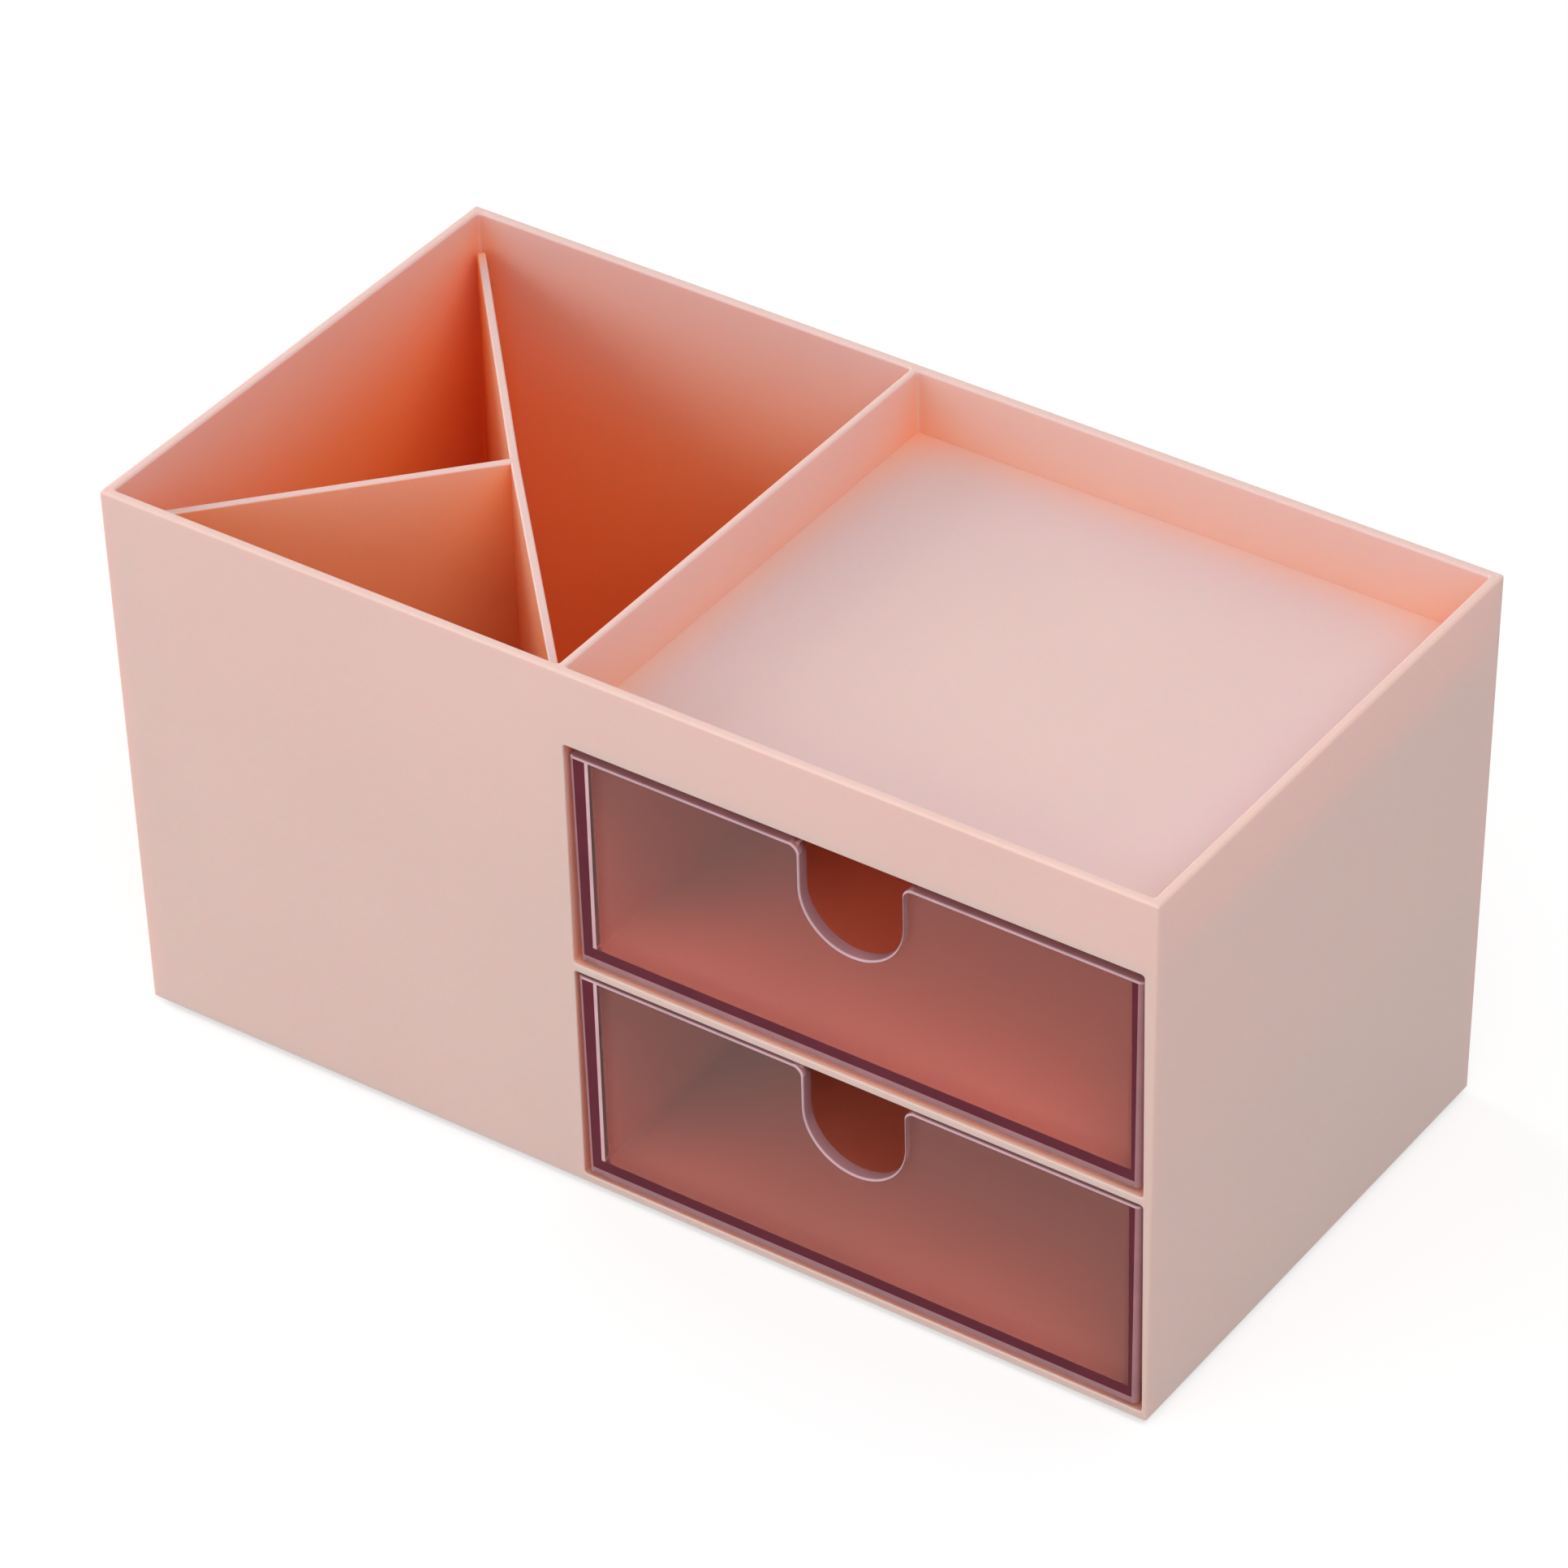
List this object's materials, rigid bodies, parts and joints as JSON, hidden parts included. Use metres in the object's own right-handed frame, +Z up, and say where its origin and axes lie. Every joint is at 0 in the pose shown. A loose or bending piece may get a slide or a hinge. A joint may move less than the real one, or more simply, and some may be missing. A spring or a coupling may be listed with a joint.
{
  "type": "desktop drawer organizer",
  "caption": "Desktop organizer with a divided pen well, a shallow top tray and see-through pull-out drawers with finger notches.",
  "frame": {"origin": "on the table, under the middle of the organizer", "axes": "+X to the right along the long side, +Y from the drawer fronts to the back, +Z up"},
  "size_m": [0.205, 0.1046, 0.1064],
  "materials": {
    "housing_plastic": "satin moulded, pale pink",
    "drawer_plastic": "polished see-through, smoky rose",
    "pad_foam": "matt foam"
  },
  "bodies": {
    "housing": {"housing": "housing_plastic", "foot_pad_front_left": "pad_foam", "foot_pad_front_right": "pad_foam", "foot_pad_rear_left": "pad_foam", "foot_pad_rear_right": "pad_foam"},
    "pen_divider": {"pen_divider": "housing_plastic"},
    "upper_drawer": {"upper_drawer": "drawer_plastic"},
    "lower_drawer": {"lower_drawer": "drawer_plastic"}
  },
  "joints": [
    {"name": "upper_drawer_slide", "type": "slide", "parent": "housing", "child": "upper_drawer", "axis": [0, -1, 0], "range_m": [0, 0.075]},
    {"name": "lower_drawer_slide", "type": "slide", "parent": "housing", "child": "lower_drawer", "axis": [0, -1, 0], "range_m": [0, 0.075]},
    {"name": "pen_divider_lift", "type": "slide", "parent": "housing", "child": "pen_divider", "axis": [0, 0, 1], "range_m": [0, 0.106]}
  ]
}
